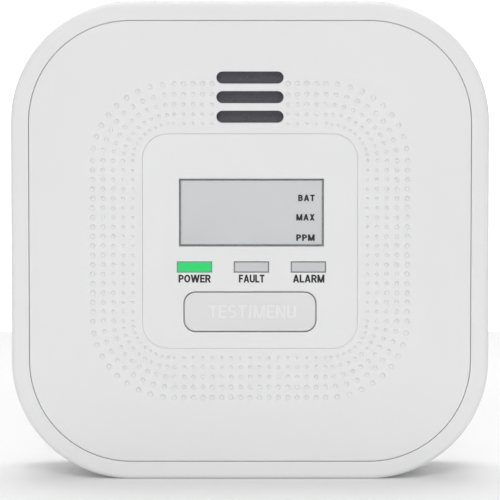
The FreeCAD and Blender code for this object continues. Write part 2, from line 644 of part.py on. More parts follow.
def switch_plunger():
    y0 = BOARD_Y - SWITCH_H
    return rod(PLUNGER_R, y0 - PLUNGER_H, y0 + 1.1, 0, BUTTON_Z)


def microcontroller():
    """Flat chip with leads on all four sides."""
    x, z, s, count = 22.0, 28.0, 4.5, 8
    body = block(x - s, x + s, BOARD_Y - 1.5, BOARD_Y - 0.15, z - s, z + s)
    body = body.makeChamfer(0.2, edges_at(body, BOARD_Y - 1.5))
    leads = []
    for i in range(count):
        t = (i - (count - 1) / 2) * 0.95
        for side in (-1, 1):
            a, b = sorted((side * (s - 0.1), side * (s + 1.0)))
            leads.append(block(x + a, x + b, BOARD_Y - 0.35, BOARD_Y, z + t - 0.2, z + t + 0.2))
            leads.append(block(x + t - 0.2, x + t + 0.2, BOARD_Y - 0.35, BOARD_Y, z + a, z + b))
    return joined([body] + leads)


def chip_parts():
    """Chip resistors and capacitors, one solid each."""
    places = [(-20.0 + 3.4 * i, z) for z in (26.0, 21.0) for i in range(4)]
    places += [(22.0 + 3.2 * i, 40.0) for i in range(4)]
    places += [(24.0, 58.0), (28.0, 58.0), (24.0, 54.0)]
    return group(
        [block(x - 0.8, x + 0.8, BOARD_Y - 0.55, BOARD_Y, z - 0.45, z + 0.45) for x, z in places]
    )


def storage_capacitor():
    """Upright can capacitor with a rolled groove above its base."""
    x, z, r, h = 27.0, 71.0, 3.15, 7.2
    can = rod(r, BOARD_Y - h, BOARD_Y, x, z)
    can = can.makeFillet(0.4, edges_at(can, BOARD_Y - h))
    groove = Part.makeTorus(r + 0.25, 0.5, Vector(x, BOARD_Y - 1.6, z), Vector(0, 1, 0))
    return can.cut(groove)


def sounder_coil():
    """Drum-core transformer that drives the sounder: two flanges and the winding."""
    x, z, flange_r, winding_r, flange_t, winding_l = -3.0, 21.5, 4.0, 3.1, 1.2, 4.0
    height = 2 * flange_t + winding_l
    return joined(
        [
            rod(flange_r, BOARD_Y - height, BOARD_Y - height + flange_t, x, z),
            rod(winding_r, BOARD_Y - flange_t - winding_l - 0.1, BOARD_Y - flange_t + 0.1, x, z),
            rod(flange_r, BOARD_Y - flange_t, BOARD_Y, x, z),
        ]
    )


# ---------------------------------------------------------------- gas sensor
def sensor_pin_places():
    places = []
    for angle in (90, 210, 330):
        a = math.radians(angle)
        r = SENSOR_PIN_CIRCLE
        places.append((SENSOR_X + r * math.cos(a), SENSOR_Z + r * math.sin(a)))
    return places


def sensor_can():
    """Cell body with a crimped groove."""
    y0 = BOARD_Y - SENSOR_H
    can = rod(SENSOR_R, y0 + SENSOR_CAP_T + 0.05, BOARD_Y - 0.3, SENSOR_X, SENSOR_Z)
    crimp = Part.makeTorus(SENSOR_R + 0.3, 0.6, Vector(SENSOR_X, y0 + 3.0, SENSOR_Z), Vector(0, 1, 0))
    return can.cut(crimp)


def sensor_cap():
    """Filter cap with a ring of gas holes."""
    y0 = BOARD_Y - SENSOR_H
    cap = rod(SENSOR_R - 0.3, y0, y0 + SENSOR_CAP_T, SENSOR_X, SENSOR_Z)
    cap = cap.makeFillet(0.5, edges_at(cap, y0))
    count, circle, hole_end = 6, 3.0, y0 + 1.0
    holes = [rod(0.7, y0 - PAST, hole_end, SENSOR_X, SENSOR_Z)]
    for i in range(count):
        a = 2 * math.pi * i / count
        x, z = SENSOR_X + circle * math.cos(a), SENSOR_Z + circle * math.sin(a)
        holes.append(rod(0.5, y0 - PAST, hole_end, x, z))
    return cap.cut(group(holes))


def sensor_pins():
    return group(
        [rod(SENSOR_PIN_R, BOARD_Y - 0.28, BOARD_BACK_Y + 1.0, x, z) for x, z in sensor_pin_places()]
    )


# ---------------------------------------------------------------- sounder
def sounder_mesh():
    """Dark dust felt behind the slots."""
    felt_y = COVER_INNER_Y + TOUCH
    return slab(CHAMBER_X - 0.2, 5.8, 1.4, felt_y, felt_y + 0.43, 0, SOUNDER_Z)


def sounder_housing():
    """Resonator cup with a sound port, a step for the disc and two ears that sit on the board."""
    cup = rod(SOUNDER_R, SOUNDER_Y0, SOUNDER_Y1, 0, SOUNDER_Z)
    ears = slab(17.4, 4.0, 1.0, BOARD_Y - 1.6, BOARD_Y - TOUCH, 0, SOUNDER_Z)
    port_r, chamber_r, floor_t = 5.0, DISC_R - 1.0, 1.1
    cuts = [
        rod(port_r, SOUNDER_Y0 - PAST, SOUNDER_Y0 + floor_t + PAST, 0, SOUNDER_Z),
        rod(chamber_r, SOUNDER_Y0 + floor_t, DISC_Y + 0.1, 0, SOUNDER_Z),
        rod(DISC_R + 0.1, DISC_Y, SOUNDER_Y1 + PAST, 0, SOUNDER_Z),
    ]
    return joined([cup, ears]).cut(joined(cuts))


def sounder_ring():
    """Ring that clamps the disc in the cup."""
    y0 = DISC_Y + DISC_T + 2 * TOUCH
    return ring(DISC_R + 0.05, DISC_R - 1.4, y0, SOUNDER_Y1, 0, SOUNDER_Z)


def piezo_plate():
    return rod(DISC_R, DISC_Y + TOUCH, DISC_Y + TOUCH + DISC_T, 0, SOUNDER_Z)


def piezo_ceramic():
    y0 = DISC_Y + TOUCH + DISC_T + 0.01
    return rod(CERAMIC_R, y0, y0 + CERAMIC_T, 0, SOUNDER_Z)


def sounder_lead(side):
    """Wire from the disc over the board's notch to the back of the board."""
    x, pad_y = side * 5.0, BOARD_BACK_Y + 0.42
    return lead(
        [
            (x, DISC_Y + 0.57, SOUNDER_Z - 3.0),
            (x, BOARD_BACK_Y + 0.8, SOUNDER_Z - 3.0),
            (x + side * 1.2, BOARD_BACK_Y + 1.1, SOUNDER_Z - 10.0),
            (x + side * 2.0, pad_y, SOUNDER_Z - 15.5),
            (x + side * 2.2, pad_y, SOUNDER_Z - 19.5),
        ],
        0.8,
    )


# ---------------------------------------------------------------- batteries
def cell_z(side):
    return MID_Z + side * CELL_DZ


def battery(side):
    """AA cell along X. The upper cell (side +1) points its cap right, the lower one left."""
    tip = side * CELL_TIP_X
    base = tip - side * CELL_L
    axis = Vector(side, 0, 0)
    can_l = CELL_L - NUB_H
    can = Part.makeCylinder(CELL_R, can_l, Vector(base, CELL_Y, cell_z(side)), axis)
    can = can.makeFillet(0.6, [e for e in can.Edges if e.Closed])
    nub_l = NUB_H + OVERLAP
    nub = Part.makeCylinder(NUB_R, nub_l, Vector(tip - side * nub_l, CELL_Y, cell_z(side)), axis)
    rims = [e for e in nub.Edges if e.Closed and abs(e.BoundBox.Center.x - tip) < 0.01]
    nub = nub.makeFillet(0.4, rims)
    return joined([can, nub])


def coil_spring(side, plate_x, tip_x):
    """Conical battery spring, wide at its plate and narrow at the cell."""
    wire_r, base_r, tip_r, turns, bends_per_turn = 0.32, 4.2, 2.4, 3.5, 10
    direction = 1 if tip_x > plate_x else -1
    length = abs(tip_x - plate_x) - 2 * wire_r - 0.1
    bends = int(turns * bends_per_turn)
    points = []
    for i in range(bends + 1):
        angle = 2 * math.pi * turns * i / bends
        r = base_r + (tip_r - base_r) * i / bends
        x = plate_x + direction * (wire_r + 0.05 + length * i / bends)
        points.append((x, CELL_Y + r * math.cos(angle), cell_z(side) + r * math.sin(angle)))
    return lead(points, 2 * wire_r)


def contact_plate(wall_side, cell_side, tail):
    """Spring-steel plate on a compartment end wall, with an optional tail through the wall."""
    wall_x = wall_side * TUB_X
    x0, x1 = sorted((wall_x - wall_side * CONTACT_GAP,
                     wall_x - wall_side * (CONTACT_GAP + CONTACT_T)))
    z = cell_z(cell_side)
    plate = block(x0, x1, TUB_FLOOR_Y + 0.1, BACK_Y - DOOR_T - 2.0, z - CONTACT_HALF,
                  z + CONTACT_HALF)
    if not tail:
        return plate
    tail_x0, tail_x1 = sorted((wall_x + wall_side * (TUB_WALL + 2.2), wall_x - wall_side * 0.3))
    return joined([plate, block(tail_x0, tail_x1, TAIL_Y, TAIL_Y + TAIL_T,
                                 z - TAIL_HALF, z + TAIL_HALF)])


def positive_contact():
    """Flat contact with a raised dome, for the lower cell's cap."""
    x = -TUB_X + CONTACT_T
    dome = axle(DOME_R, x, x + DOME_H, CELL_Y, cell_z(-1))
    return joined([contact_plate(-1, -1, True), dome])


def negative_contact():
    """Plate behind the upper cell's spring."""
    return contact_plate(-1, 1, True)


def link_contact():
    """One plate that joins the upper cell's cap to the lower cell's spring."""
    plates = [contact_plate(1, side, False) for side in (-1, 1)]
    x = TUB_X - CONTACT_GAP - CONTACT_T
    bridge = block(x, TUB_X - CONTACT_GAP, 0.0, 8.0, MID_Z - 4, MID_Z + 4)
    dome = axle(DOME_R, x - 0.4, x + 0.05, CELL_Y, cell_z(1))
    return joined(plates + [bridge, dome])


def battery_springs():
    """Both cells' springs, each from its plate to the cell's flat end."""
    plate_x = TUB_X - CONTACT_GAP - CONTACT_T - TOUCH
    flat_x = CELL_L - CELL_TIP_X + 2 * TOUCH
    return group([coil_spring(1, -plate_x, -flat_x), coil_spring(-1, plate_x, flat_x)])


def battery_lead(side):
    """Wire from a contact's tail to the back of the board."""
    z = cell_z(side)
    x = -TUB_OUT_X - 1.5
    return lead(
        [
            (x, TAIL_Y - 0.02, z),
            (x, TAIL_Y - 3.6, z),
            (x - 3.0, -1.2, z + side * 3.0),
            (x - 3.0, BOARD_BACK_Y + 0.02, z + side * 3.0),
        ],
        1.1,
    )


def battery_door():
    """Hinged door with integral hinge pins, a spring tongue and finger ridges."""
    plate = block(-DOOR_X, DOOR_X, BACK_Y - DOOR_T, BACK_Y, HINGE_Z, DOOR_TOP_Z)
    barrel = axle(HINGE_R, -DOOR_X, DOOR_X, HINGE_Y, HINGE_Z)
    pin_x = DOOR_X + HINGE_PIN_L
    pins = axle(HINGE_PIN_R, -pin_x, pin_x, HINGE_Y, HINGE_Z)
    tongue_x, tongue_l, slit = 7.0, 9.0, 0.4
    cuts = [
        block(x - slit, x + slit, BACK_Y - DOOR_T - PAST, BACK_Y + PAST,
              DOOR_TOP_Z - tongue_l, DOOR_TOP_Z + PAST)
        for x in (-tongue_x, tongue_x)
    ]
    ridge_x, ridge_pitch, groove, groove_t = 4.5, 1.5, 0.4, 0.35
    for i in range(4):
        z = DOOR_TOP_Z - 2.2 - ridge_pitch * i
        cuts.append(
            block(-ridge_x, ridge_x, BACK_Y - groove_t, BACK_Y + PAST, z - groove, z + groove)
        )
    return joined([plate, barrel, pins]).cut(joined(cuts))


def rating_label():
    """Blank label on the door."""
    return slab(24.0, 8.0, 1.0, BACK_Y + 0.005, BACK_Y + 0.12, 0, HINGE_Z + 12.4)


# ---------------------------------------------------------------- wall plate
def wall_plate():
    """Plate that is screwed to the wall, with four hooks that hold the housing."""
    plate = slab(PLATE_HALF, PLATE_HALF, PLATE_R, BACK_Y + 0.05, WALL_Y)
    plate = plate.makeFillet(0.8, edges_at(plate, WALL_Y))
    middle = (WINDOW_Z0 + WINDOW_Z1) / 2
    outside, relief_y = WALL_Y + PAST, WALL_Y - RELIEF_T
    cuts = [slab(WINDOW_X, (WINDOW_Z1 - WINDOW_Z0) / 2, 3.0, BACK_Y - PAST, outside, 0, middle)]
    for s in (-1, 1):
        x, half_x, half_z = s * FIXING_DX / 2, FIXING_L / 2, FIXING_W / 2
        cuts.append(slab(half_x, half_z, half_z, BACK_Y, outside, x, FIXING_Z))
        cuts.append(slab(half_x + FIXING_RECESS, half_z + FIXING_RECESS, half_z + FIXING_RECESS,
                         BACK_Y - PAST, BACK_Y + 0.05 + FIXING_RECESS_T, x, FIXING_Z))
        cuts.append(slab(3.6, 15.0, 1.5, relief_y, outside, s * 36.5, middle))
    cuts.append(slab(8.0, 4.0, 1.5, relief_y, outside, 0, FIXING_Z - 2.0))
    cuts.append(slab(13.0, 6.0, 1.5, relief_y, outside, 0, 19.0))
    plate = plate.cut(joined(cuts))
    hooks = []
    for x, z in hook_places():
        neck, head = HOOK_NECK_W / 2, HOOK_HEAD_W / 2
        hooks.append(block(x - neck, x + neck, FLOOR_Y - 0.8, BACK_Y + OVERLAP,
                           z - HOOK_NECK_H / 2, z + HOOK_NECK_H / 2))
        hooks.append(block(x - head, x + head, FLOOR_Y - 1.7, FLOOR_Y - 0.1,
                           z - HOOK_HEAD_H / 2, z + HOOK_HEAD_H / 2))
    return joined([plate] + hooks)


# ---------------------------------------------------------------- export
def all_parts():
    parts = {
        "rear_housing": rear_housing(),
        "front_cover": front_cover(),
        "housing_screws": housing_screws(),
        "display_panel": display_panel(),
        "display_window": display_window(),
        "test_button": test_button(),
        "lcd_glass": lcd_glass(),
        "lcd_holder": lcd_holder(),
        "zebra_strips": zebra_strips(),
        "main_board": main_board(),
        "board_screws": board_screws(),
        "switch_body": switch_body(),
        "switch_plunger": switch_plunger(),
        "microcontroller": microcontroller(),
        "chip_parts": chip_parts(),
        "storage_capacitor": storage_capacitor(),
        "sounder_coil": sounder_coil(),
        "sensor_can": sensor_can(),
        "sensor_cap": sensor_cap(),
        "sensor_pins": sensor_pins(),
        "sounder_mesh": sounder_mesh(),
        "sounder_housing": sounder_housing(),
        "sounder_ring": sounder_ring(),
        "piezo_plate": piezo_plate(),
        "piezo_ceramic": piezo_ceramic(),
        "sounder_lead_red": sounder_lead(-1),
        "sounder_lead_black": sounder_lead(1),
        "battery_upper": battery(1),
        "battery_lower": battery(-1),
        "battery_springs": battery_springs(),
        "positive_contact": positive_contact(),
        "negative_contact": negative_contact(),
        "link_contact": link_contact(),
        "battery_lead_red": battery_lead(-1),
        "battery_lead_black": battery_lead(1),
        "battery_door": battery_door(),
        "rating_label": rating_label(),
        "wall_plate": wall_plate(),
    }
    for index, name in enumerate(LAMP_NAMES):
        parts[f"{name}_light_guide"] = light_guide(index)
        parts[f"{name}_lamp"] = lamp(index)
    return parts


def main():
    os.makedirs("parts", exist_ok=True)
    for name, shape in all_parts().items():
        if not shape.isValid() or any(not s.isValid() or s.Volume <= 0 for s in shape.Solids):
            print("NOT VALID:", name)
        print(f"{name:22s} solids {len(shape.Solids):2d}  faces {len(shape.Faces):4d}"
              f"  volume {sum(s.Volume for s in shape.Solids):10.1f}")
        shape.exportStep(f"parts/{name}.step")


main()
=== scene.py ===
"""Looks of a carbon monoxide detector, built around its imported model.

Frame: metres, X to the right seen from the front, Y from the front to the wall, Z up,
origin in the middle of the footprint.
"""

import json
import math

import bmesh
import bpy
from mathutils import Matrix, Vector


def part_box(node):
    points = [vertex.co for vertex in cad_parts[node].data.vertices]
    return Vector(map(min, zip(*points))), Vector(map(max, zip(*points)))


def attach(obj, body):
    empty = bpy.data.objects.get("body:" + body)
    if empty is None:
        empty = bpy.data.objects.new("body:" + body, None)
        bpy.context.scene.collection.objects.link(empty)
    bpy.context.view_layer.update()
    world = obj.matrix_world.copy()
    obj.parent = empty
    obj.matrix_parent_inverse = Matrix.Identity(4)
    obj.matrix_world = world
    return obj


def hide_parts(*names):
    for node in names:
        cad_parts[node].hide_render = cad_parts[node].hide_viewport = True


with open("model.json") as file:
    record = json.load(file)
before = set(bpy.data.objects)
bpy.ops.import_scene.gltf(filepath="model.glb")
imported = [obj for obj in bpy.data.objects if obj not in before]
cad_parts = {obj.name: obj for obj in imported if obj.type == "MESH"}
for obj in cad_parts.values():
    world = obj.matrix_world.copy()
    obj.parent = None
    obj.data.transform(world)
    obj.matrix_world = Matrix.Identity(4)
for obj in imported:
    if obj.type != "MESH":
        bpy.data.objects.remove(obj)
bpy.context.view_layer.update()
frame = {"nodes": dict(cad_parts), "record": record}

MM = 0.001
JOIN_DIST = 0.0005 * MM  # vertices nearer than this are one
PLANE_DIST = 0.01 * MM  # a point this near to a plane lies in it
SHARP_ANGLE = math.radians(24.0)


# ---------------------------------------------------------------- sizes read from the frame
def box_of(node):
    """Lowest corner, highest corner and middle of a node's box."""
    low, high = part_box(node)
    return low, high, (low + high) / 2


def front_face(node):
    """Low and high corners of the part of a node that lies in its foremost plane."""
    points = [v.co for v in frame["nodes"][node].data.vertices]
    front = min(p.y for p in points)
    points = [p for p in points if p.y < front + PLANE_DIST]
    xs, zs = [p.x for p in points], [p.z for p in points]
    return Vector((min(xs), front, min(zs))), Vector((max(xs), front, max(zs)))


COVER_FRONT_Y = box_of("front_cover")[0].y
PANEL_LOW, _, PANEL_MID = box_of("display_panel")
WINDOW_LOW, _, WINDOW_MID = box_of("display_window")
BUTTON_LOW, _, BUTTON_MID = box_of("test_button")


# ---------------------------------------------------------------- node helpers
NOISE_LOW, NOISE_HIGH = 0.3, 0.7  # nearly all of a noise texture's values lie between these


class Nodes:
    """Short helper around one material's node tree."""

    def __init__(self, name):
        self.material = bpy.data.materials.new(name)
        self.material.use_nodes = True
        self.tree = self.material.node_tree
        self.tree.nodes.clear()
        self.output = self.add("ShaderNodeOutputMaterial")
        self.place = self.add("ShaderNodeTexCoord").outputs["Object"]

    def add(self, kind, **settings):
        """A new node with its settings."""
        node = self.tree.nodes.new(kind)
        for key, value in settings.items():
            setattr(node, key, value)
        return node

    def link(self, source, target):
        """Leads an output into an input."""
        self.tree.links.new(source, target)

    def feed(self, value, target):
        """Leads an output into an input, or sets the input to a constant."""
        if isinstance(value, (int, float)):
            target.default_value = value
        else:
            self.link(value, target)

    def noise(self, scale, detail=2.0, rough=0.5, place=None):
        """Noise over the object; scale is in cycles per metre."""
        node = self.add("ShaderNodeTexNoise")
        node.inputs["Scale"].default_value = scale
        node.inputs["Detail"].default_value = detail
        node.inputs["Roughness"].default_value = rough
        self.link(place or self.place, node.inputs["Vector"])
        return node.outputs["Fac"]

    def tint(self, factor, low, high):
        """Colour from low to high over the usual range of a noise."""
        return self.ramp(factor, (NOISE_LOW, low), (NOISE_HIGH, high))

    def ramp(self, factor, *stops):
        """Colour ramp with (position, colour) stops."""
        node = self.add("ShaderNodeValToRGB")
        elements = node.color_ramp.elements
        while len(elements) < len(stops):
            elements.new(0.5)
        for element, (position, colour) in zip(elements, stops):
            element.position = position
            element.color = (*colour, 1.0)
        self.link(factor, node.inputs["Fac"])
        return node.outputs["Color"]

    def split(self):
        """Separate X, Y and Z of the place on the object."""
        node = self.add("ShaderNodeSeparateXYZ")
        self.link(self.place, node.inputs["Vector"])
        return node.outputs

    def span(self, factor, low, high):
        """Value from low to high over the usual range of a noise."""
        node = self.add("ShaderNodeMapRange")
        node.inputs["From Min"].default_value = NOISE_LOW
        node.inputs["From Max"].default_value = NOISE_HIGH
        node.inputs["To Min"].default_value = low
        node.inputs["To Max"].default_value = high
        self.link(factor, node.inputs["Value"])
        return node.outputs["Result"]

    def math(self, operation, first, second=0.0):
        """One sum; an operation on a single value leaves the second out."""
        node = self.add("ShaderNodeMath", operation=operation)
        self.feed(first, node.inputs[0])
        self.feed(second, node.inputs[1])
        return node.outputs["Value"]

    def bump(self, height, strength, distance):
        """Normal of a surface with small relief."""
        node = self.add("ShaderNodeBump")
        node.inputs["Strength"].default_value = strength
        node.inputs["Distance"].default_value = distance
        self.link(height, node.inputs["Height"])
        return node.outputs["Normal"]

    def surface(self, colour, rough, normal=None, **values):
        """Principled shader led to the output; values are constants for its other inputs."""
        shader = self.add("ShaderNodeBsdfPrincipled")
        for key, value in values.items():
            shader.inputs[key.replace("_", " ")].default_value = value
        self.link(colour, shader.inputs["Base Color"])
        self.feed(rough, shader.inputs["Roughness"])
        if normal is not None:
            self.link(normal, shader.inputs["Normal"])
        self.link(shader.outputs["BSDF"], self.output.inputs["Surface"])
        return shader


def shade(colour, factor):
    """A colour made darker or lighter."""
    return tuple(min(1.0, c * factor) for c in colour)


# ---------------------------------------------------------------- materials
def moulded_plastic(name, colour, rough, relief=0.012):
    """Injection-moulded plastic: fine grain (relief in mm), faint flow marks, uneven gloss."""
    grain, spread, gloss_spread = 2600.0, 0.012, 0.05
    n = Nodes(name)
    flow = n.noise(28.0, 3.0)
    colour_out = n.tint(flow, shade(colour, 1 - spread), shade(colour, 1 + spread))
    rough_out = n.span(n.noise(95.0, 3.0), rough - gloss_spread, rough + gloss_spread)
    normal = n.bump(n.noise(grain, 4.0, 0.6), 0.6, relief * MM)
    n.surface(colour_out, rough_out, normal)
    return n.material


def brushed_metal(name, colour, rough, stretch=(1.0, 1.0, 14.0)):
    """Drawn or rolled metal with fine lines along one direction."""
    n = Nodes(name)
    mapping = n.add("ShaderNodeMapping")
    mapping.inputs["Scale"].default_value = stretch
    n.link(n.place, mapping.inputs["Vector"])
    lines = n.noise(900.0, 3.0, 0.6, mapping.outputs["Vector"])
    stains = n.noise(160.0, 2.0)
    colour_out = n.tint(stains, shade(colour, 0.9), shade(colour, 1.06))
    normal = n.bump(lines, 0.35, 0.01 * MM)
    n.surface(colour_out, n.span(lines, rough - 0.07, rough + 0.1), normal, Metallic=1.0)
    return n.material


def felt(name, colour):
    """Matted fibres."""
    n = Nodes(name)
    fibres = n.noise(1900.0, 6.0, 0.75)
    colour_out = n.tint(fibres, shade(colour, 0.8), shade(colour, 1.2))
    n.surface(colour_out, 0.95, n.bump(fibres, 0.5, 0.05 * MM), Sheen_Weight=0.1)
    return n.material


def lamp_window(node, outline, rim, core, glow):
    """Translucent window: a dark outline, then a rim that fades to the lit middle."""
    low, high = front_face(node)
    middle, half = (low + high) / 2, (high - low) / 2
    fade, unevenness = 0.9 * MM, 0.04
    outline_end, rim_start = 0.16, 0.24  # shares of the fade
    n = Nodes(node)
    place = n.split()
    margins = []
    for axis, centre, reach in (("X", middle.x, half.x), ("Z", middle.z, half.z)):
        offset = n.math("ABSOLUTE", n.math("SUBTRACT", place[axis], centre))
        margins.append(n.math("SUBTRACT", reach, offset))
    inset = n.math("DIVIDE", n.math("MINIMUM", *margins), fade)
    inset = n.math("ADD", inset, n.math("MULTIPLY", n.noise(900.0, 2.0), unevenness))
    colour_out = n.ramp(inset, (0.0, outline), (outline_end, outline), (rim_start, rim),
                        (1.0, core))
    grain = n.bump(n.noise(1500.0, 2.0), 0.25, 0.01 * MM)
    shader = n.surface(colour_out, 0.5, grain, Specular_IOR_Level=0.15)
    n.link(colour_out, shader.inputs["Emission Color"])
    shader.inputs["Emission Strength"].default_value = glow
    return n.material


def clear_lens(name, tint):
    """Thin clear lens with a faint grey tint and soft gloss."""
    n = Nodes(name)
    haze = n.noise(60.0, 2.0)
    colour_out = n.tint(haze, shade(tint, 0.98), shade(tint, 1.02))
    n.surface(colour_out, n.span(haze, 0.12, 0.2), Alpha=0.8, IOR=1.49)
    return n.material


def display_glass(name, colour):
    """Liquid-crystal glass: a soft grey with fine polariser grain."""
    n = Nodes(name)
    cloud = n.noise(55.0, 2.0)
    grain = n.noise(4200.0, 2.0)
    mixed = n.math("ADD", n.math("MULTIPLY", cloud, 0.7), n.math("MULTIPLY", grain, 0.3))
    colour_out = n.tint(mixed, shade(colour, 0.975), shade(colour, 1.02))
    n.surface(colour_out, 0.35, n.bump(grain, 0.2, 0.004 * MM))
    return n.material


def ink(name, colour):
    """Pad-printed ink with slightly uneven cover; its grey also serves as painted shade round the
    lens.
    """
    n = Nodes(name)
    cover = n.noise(2400.0, 3.0)
    colour_out = n.tint(cover, shade(colour, 0.8), shade(colour, 1.25))
    n.surface(colour_out, n.span(cover, 0.4, 0.6))
    return n.material


def circuit_board(name):
    """Green solder mask over copper: thin tracks show as paler lines."""
    n = Nodes(name)
    tracks = n.add("ShaderNodeTexBrick")
    tracks.inputs["Scale"].default_value = 420.0
    tracks.inputs["Mortar Size"].default_value = 0.06
    tracks.inputs["Color1"].default_value = (0.012, 0.11, 0.045, 1.0)
    tracks.inputs["Color2"].default_value = (0.016, 0.14, 0.06, 1.0)
    tracks.inputs["Mortar"].default_value = (0.05, 0.30, 0.13, 1.0)
    n.link(n.place, tracks.inputs["Vector"])
    n.surface(tracks.outputs["Color"], 0.35, n.bump(tracks.outputs["Fac"], 0.3, 0.03 * MM))
    return n.material


def battery_sleeve(node, sleeve, stripe, metal):
    """Printed sleeve round the cell, with one stripe, and bare steel on its ends."""
    steel_radius, stripe_x, stripe_half, unevenness = 6.3 * MM, 15.0 * MM, 2.0 * MM, 0.1
    middle = box_of(node)[2]
    n = Nodes(node)
    place = n.split()
    y = n.math("SUBTRACT", place["Y"], middle.y)
    z = n.math("SUBTRACT", place["Z"], middle.z)
    radius = n.math("SQRT", n.math("ADD", n.math("MULTIPLY", y, y), n.math("MULTIPLY", z, z)))
    wrapped = n.math("GREATER_THAN", radius, steel_radius)
    offset = n.math("ABSOLUTE", n.math("SUBTRACT", place["X"], middle.x + stripe_x))
    band = n.math("LESS_THAN", offset, stripe_half)
    band = n.math("ADD", band, n.math("MULTIPLY", n.noise(300.0), unevenness))
    print_out = n.ramp(band, (0.2, sleeve), (0.6, stripe))
    scratches = n.noise(700.0, 3.0)
    foil = n.surface(print_out, n.span(scratches, 0.22, 0.34))
    steel = n.add("ShaderNodeBsdfPrincipled")
    steel.inputs["Metallic"].default_value = 1.0
    steel.inputs["Base Color"].default_value = (*metal, 1.0)
    n.link(n.span(scratches, 0.2, 0.4), steel.inputs["Roughness"])
    mix = n.add("ShaderNodeMixShader")
    n.link(wrapped, mix.inputs["Fac"])
    n.link(steel.outputs["BSDF"], mix.inputs[1])
    n.link(foil.outputs["BSDF"], mix.inputs[2])
    n.link(mix.outputs["Shader"], n.output.inputs["Surface"])
    return n.material


WHITE = (0.795, 0.796, 0.797)
LCD_GREY = (0.585, 0.595, 0.61)
GREEN_LAMP = (0.09, 0.40, 0.20), (0.055, 0.50, 0.17), (0.02, 0.58, 0.125)  # outline, rim, core
GREY_LAMP = shade(LCD_GREY, 0.55), LCD_GREY, LCD_GREY
SLEEVE_BLUE, STRIPE_GREY = (0.03, 0.05, 0.10), (0.62, 0.63, 0.64)
CELL_STEEL = (0.62, 0.61, 0.58)

MATERIALS = {
    "case_white": moulded_plastic("case_white", WHITE, rough=0.56),
    "panel_white": moulded_plastic("panel_white", WHITE, rough=0.46, relief=0.006),
    "button_white": moulded_plastic("button_white", (0.74, 0.74, 0.74), rough=0.46, relief=0.006),
    "label_paper": moulded_plastic("label_paper", (0.74, 0.74, 0.72), rough=0.55, relief=0.004),
    "black_plastic": moulded_plastic("black_plastic", (0.02, 0.02, 0.021), rough=0.5),
    "white_nylon": moulded_plastic("white_nylon", (0.78, 0.77, 0.72), rough=0.45),
    "elastomer": moulded_plastic("elastomer", (0.05, 0.045, 0.045), rough=0.7),
    "chip_black": moulded_plastic("chip_black", (0.028, 0.028, 0.03), rough=0.55),
    "pale_ceramic": moulded_plastic("pale_ceramic", (0.78, 0.76, 0.70), rough=0.5),
    "wire_red": moulded_plastic("wire_red", (0.5, 0.02, 0.015), rough=0.35),
    "wire_black": moulded_plastic("wire_black", (0.018, 0.018, 0.018), rough=0.35),
    "zinc_steel": brushed_metal("zinc_steel", (0.60, 0.61, 0.63), 0.34),
    "nickel_plate": brushed_metal("nickel_plate", (0.68, 0.66, 0.62), 0.25),
    "bare_aluminium": brushed_metal("bare_aluminium", (0.75, 0.75, 0.76), 0.3),
    "disc_brass": brushed_metal("disc_brass", (0.80, 0.60, 0.28), 0.3),
    "copper_winding": brushed_metal("copper_winding", (0.70, 0.30, 0.14), 0.35, (1.0, 30.0, 1.0)),
    "dark_felt": felt("dark_felt", (0.10, 0.10, 0.113)),
    "clear_lens": clear_lens("clear_lens", (0.69, 0.70, 0.715)),
    "lcd_grey": display_glass("lcd_grey", LCD_GREY),
    "board_green": circuit_board("board_green"),
}
PRINT_BLACK = ink("print_black", (0.008, 0.008, 0.009))
# grey for print on the label, and for the painted shade line round the lens
PRINT_AND_SHADE_GREY = ink("print_and_shade_grey", (0.22, 0.225, 0.23))
LEGEND_WHITE = moulded_plastic("legend_white", (0.81, 0.81, 0.81), rough=0.4, relief=0.004)


def dress(obj, material):
    """Gives an object one material."""
    obj.data.materials.clear()
    obj.data.materials.append(material)


def dress_frame():
    """Gives every CAD node its finish."""
    slots = {s["node"]: s["material_slot"] for s in frame["record"]["subparts"]}
    for node, obj in frame["nodes"].items():
        slot = slots[node]
        if slot in MATERIALS:
            dress(obj, MATERIALS[slot])
        elif slot == "battery_sleeve":
            dress(obj, battery_sleeve(node, SLEEVE_BLUE, STRIPE_GREY, CELL_STEEL))
        elif slot == "lamp_window_green":
            dress(obj, lamp_window(node, *GREEN_LAMP, glow=0.28))
        elif slot == "lamp_window_grey":
            dress(obj, lamp_window(node, *GREY_LAMP, glow=0.0))


# ---------------------------------------------------------------- mesh helpers
def new_piece(name, mesh, material, body):
    """Object of its own that rides on a body, with one material."""
    obj = bpy.data.objects.new(name, mesh)
    bpy.context.scene.collection.objects.link(obj)
    dress(obj, material)
    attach(obj, body)
    return obj


def smooth(mesh):
    """Smooth shading, with the edges over SHARP_ANGLE kept sharp."""
    mesh.shade_smooth()
    mesh.set_sharp_from_angle(angle=SHARP_ANGLE)


def merged_copy(node, name):
    """Copy of a CAD node's mesh with its doubled vertices joined and its stored normals off."""
    mesh = frame["nodes"][node].data.copy()
    mesh.name = name
    stored = mesh.attributes.get("custom_normal")
    if stored:
        mesh.attributes.remove(stored)
    bm = bmesh.new()
    bm.from_mesh(mesh)
    bmesh.ops.remove_doubles(bm, verts=bm.verts, dist=JOIN_DIST)
    bm.to_mesh(mesh)
    bm.free()
    return mesh


def prism(polygon, y0, y1):
    """Flat (x, z) polygon extruded between two depths."""
    bm = bmesh.new()
    rows = [[bm.verts.new((x, y, z)) for x, z in polygon] for y in (y0, y1)]
    bm.faces.new(rows[0])
    bm.faces.new(rows[1])
    for i in range(len(polygon)):
        j = (i + 1) % len(polygon)
        bm.faces.new((rows[0][i], rows[0][j], rows[1][j], rows[1][i]))
    bmesh.ops.recalc_face_normals(bm, faces=bm.faces)
    mesh = bpy.data.meshes.new("prism")
    bm.to_mesh(mesh)
    bm.free()
    return mesh


